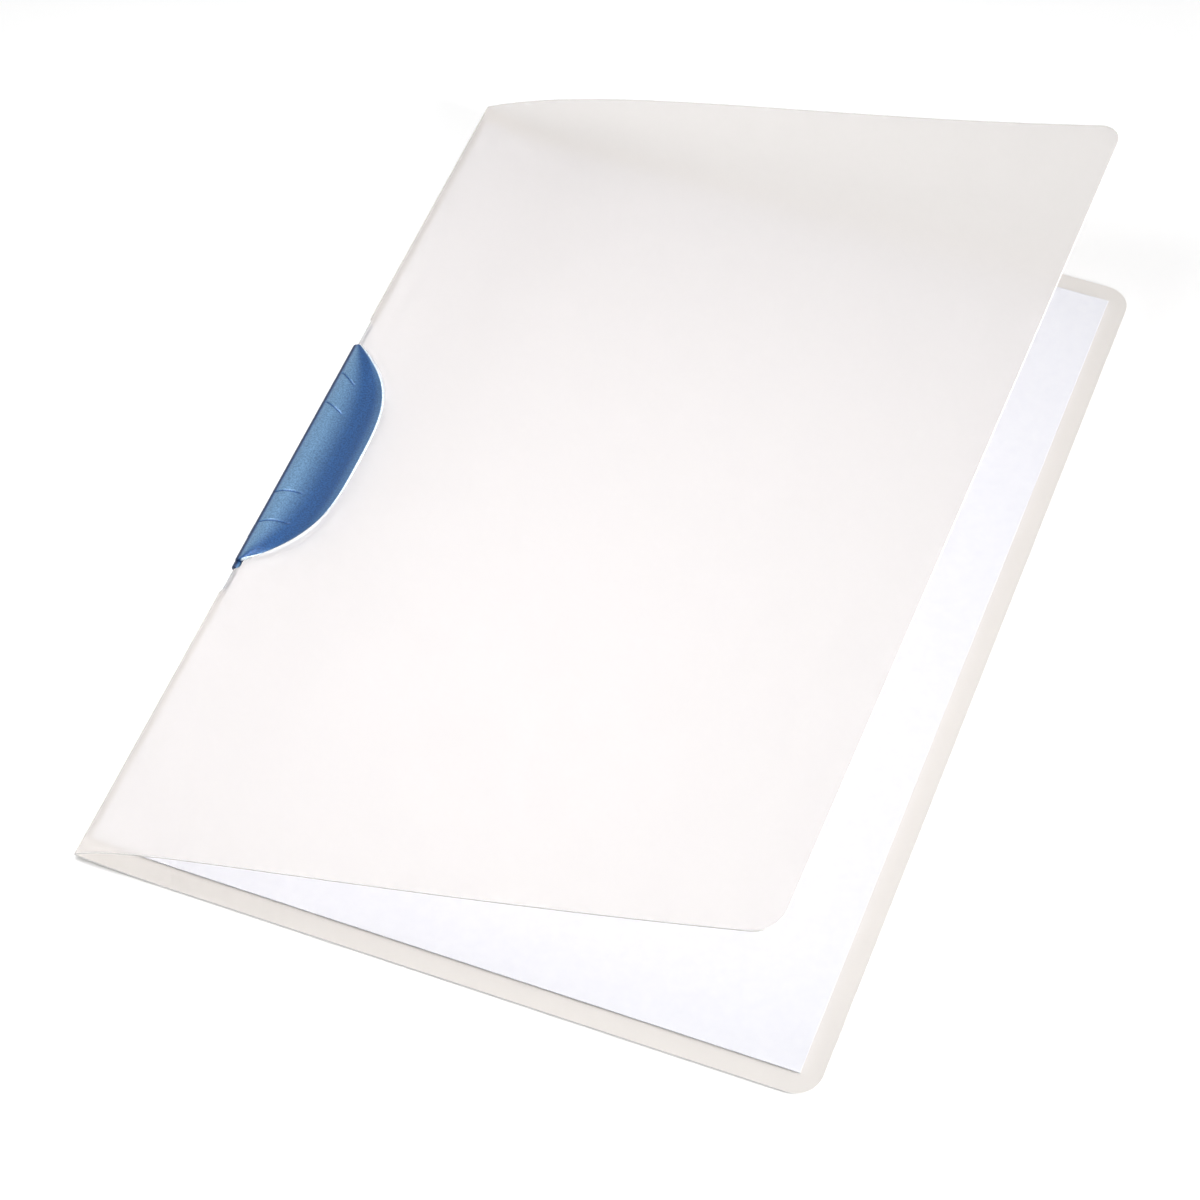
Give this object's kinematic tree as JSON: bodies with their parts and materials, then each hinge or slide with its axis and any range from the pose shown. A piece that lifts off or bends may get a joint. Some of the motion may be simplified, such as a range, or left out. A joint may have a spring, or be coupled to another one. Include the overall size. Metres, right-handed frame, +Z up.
{
  "type": "clip folder",
  "caption": "A4 presentation folder of frosted translucent plastic standing ajar, with sheets of paper held by a blue D-shaped swing clip at the spine.",
  "frame": {"origin": "centre of the back cover's flat underside", "axes": "+X from the spine to the free edge, +Y along the spine to the upper end, +Z up from the table"},
  "size_m": [0.2191, 0.31, 0.079],
  "materials": {
    "frosted_front_sheet": "satin",
    "frosted_back_sheet": "satin",
    "white_paper": "matte",
    "pearl_blue_clip": "satin",
    "blue_base": "satin"
  },
  "bodies": {
    "root": {"back_cover": "frosted_back_sheet", "paper_stack": "white_paper", "clip_base": "blue_base"},
    "front_cover": {"front_cover": "frosted_front_sheet"},
    "swing_clip": {"swing_clip": "pearl_blue_clip"}
  },
  "joints": [
    {"name": "cover_fold", "type": "hinge", "parent": "root", "child": "front_cover", "pos_m": [-0.1088, 0, 0.00315], "axis": [0, -1, 0.0087], "range_deg": [-5, 155]},
    {"name": "clip_swing", "type": "hinge", "parent": "root", "child": "swing_clip", "pos_m": [-0.108, 0, 0.0028], "axis": [0, -1, 0.0087], "range_deg": [0, 165]}
  ]
}
